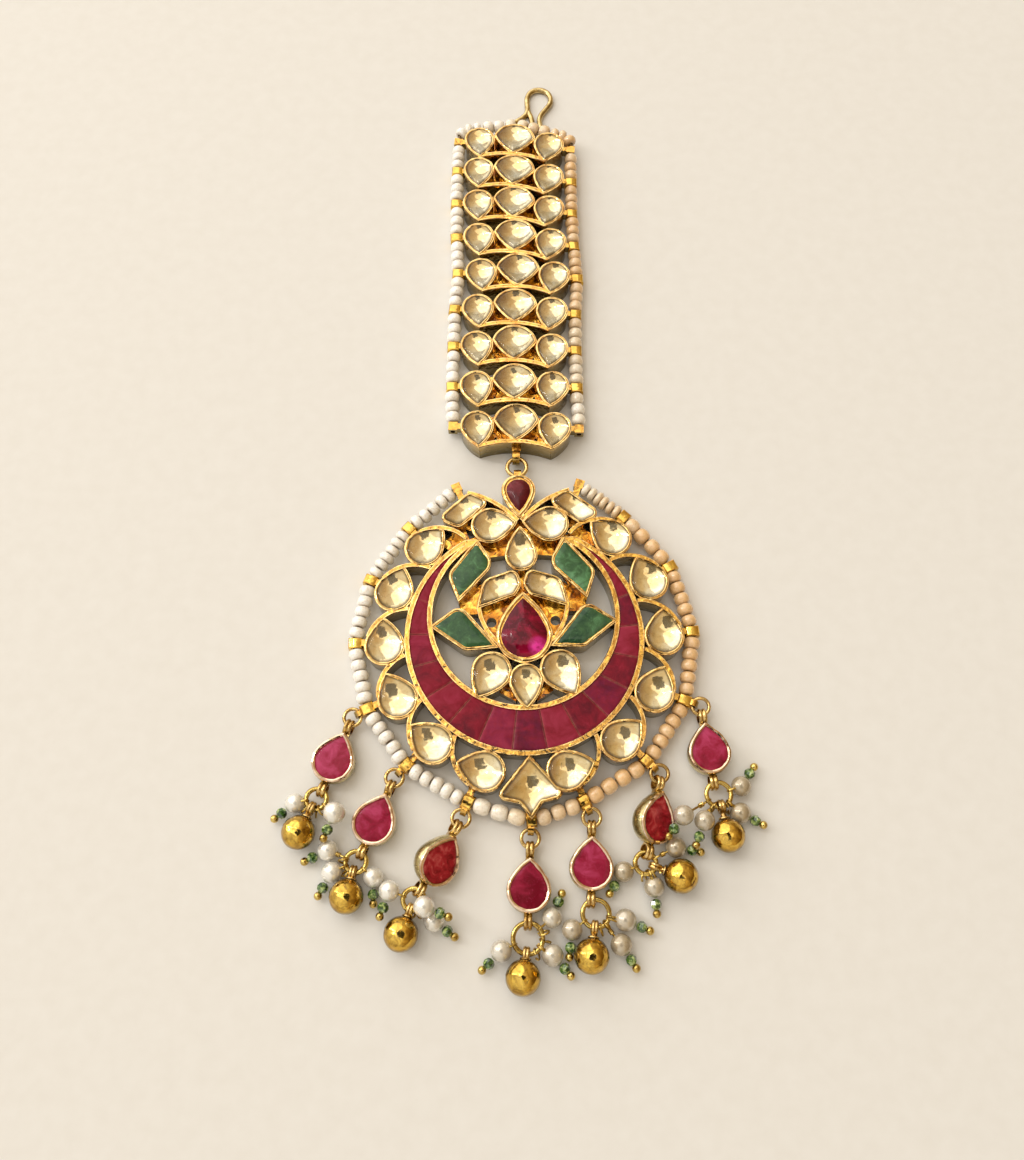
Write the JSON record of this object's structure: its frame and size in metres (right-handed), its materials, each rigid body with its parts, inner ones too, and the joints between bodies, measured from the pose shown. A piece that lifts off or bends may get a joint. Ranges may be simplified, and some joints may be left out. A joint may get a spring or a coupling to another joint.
{
  "type": "maang tikka",
  "caption": "Forehead ornament: a hook, a strung band of stone-set plates, a round pendant with a crescent, and hanging drops with bells and pearls.",
  "frame": {"origin": "middle of the pendant, on the flat back that the ornament lies on", "axes": "+Z out of the face with the stones, +Y along the band to the hook, +X to the wearer's left when seen from the front"},
  "size_m": [0.0731, 0.1642, 0.0061],
  "materials": {
    "gold": "polished gold alloy",
    "pale_gold": "polished pale gold",
    "kundan_glass": "foil-backed cut glass",
    "ruby": "foil-backed red stone",
    "emerald": "cloudy green stone",
    "seed_bead": "ivory glazed bead",
    "pearl": "pearl lustre"
  },
  "bodies": {
    "root": {"hook": "gold", "connector_ring": "gold", "pendant_frame": "gold", "top_ruby": "ruby", "centre_ruby": "ruby", "crescent_rubies": "ruby", "emerald_leaves": "emerald", "inner_kundan": "kundan_glass", "outer_kundan": "kundan_glass", "rim_beads": "seed_bead", "bead_string_left": "seed_bead", "bead_string_right": "seed_bead", "bead_string_top": "seed_bead", "drop_rings": "gold", "band_plate_1": "gold", "band_stones_1": "kundan_glass", "band_plate_2": "gold", "band_stones_2": "kundan_glass", "band_plate_3": "gold", "band_stones_3": "kundan_glass", "band_plate_4": "gold", "band_stones_4": "kundan_glass", "band_plate_5": "gold", "band_stones_5": "kundan_glass", "band_plate_6": "gold", "band_stones_6": "kundan_glass", "band_plate_7": "gold", "band_stones_7": "kundan_glass", "band_plate_8": "gold", "band_stones_8": "kundan_glass", "band_plate_9": "gold", "band_stones_9": "kundan_glass", "drop_1_setting": "pale_gold", "drop_1_ruby": "ruby", "drop_1_bell": "gold", "drop_1_cluster": "pearl", "drop_2_setting": "pale_gold", "drop_2_ruby": "ruby", "drop_2_bell": "gold", "drop_2_cluster": "pearl", "drop_3_setting": "pale_gold", "drop_3_ruby": "ruby", "drop_3_bell": "gold", "drop_3_cluster": "pearl", "drop_4_setting": "pale_gold", "drop_4_ruby": "ruby", "drop_4_bell": "gold", "drop_4_cluster": "pearl", "drop_5_setting": "pale_gold", "drop_5_ruby": "ruby", "drop_5_bell": "gold", "drop_5_cluster": "pearl", "drop_6_setting": "pale_gold", "drop_6_ruby": "ruby", "drop_6_bell": "gold", "drop_6_cluster": "pearl", "drop_7_setting": "pale_gold", "drop_7_ruby": "ruby", "drop_7_bell": "gold", "drop_7_cluster": "pearl"}
  },
  "joints": []
}
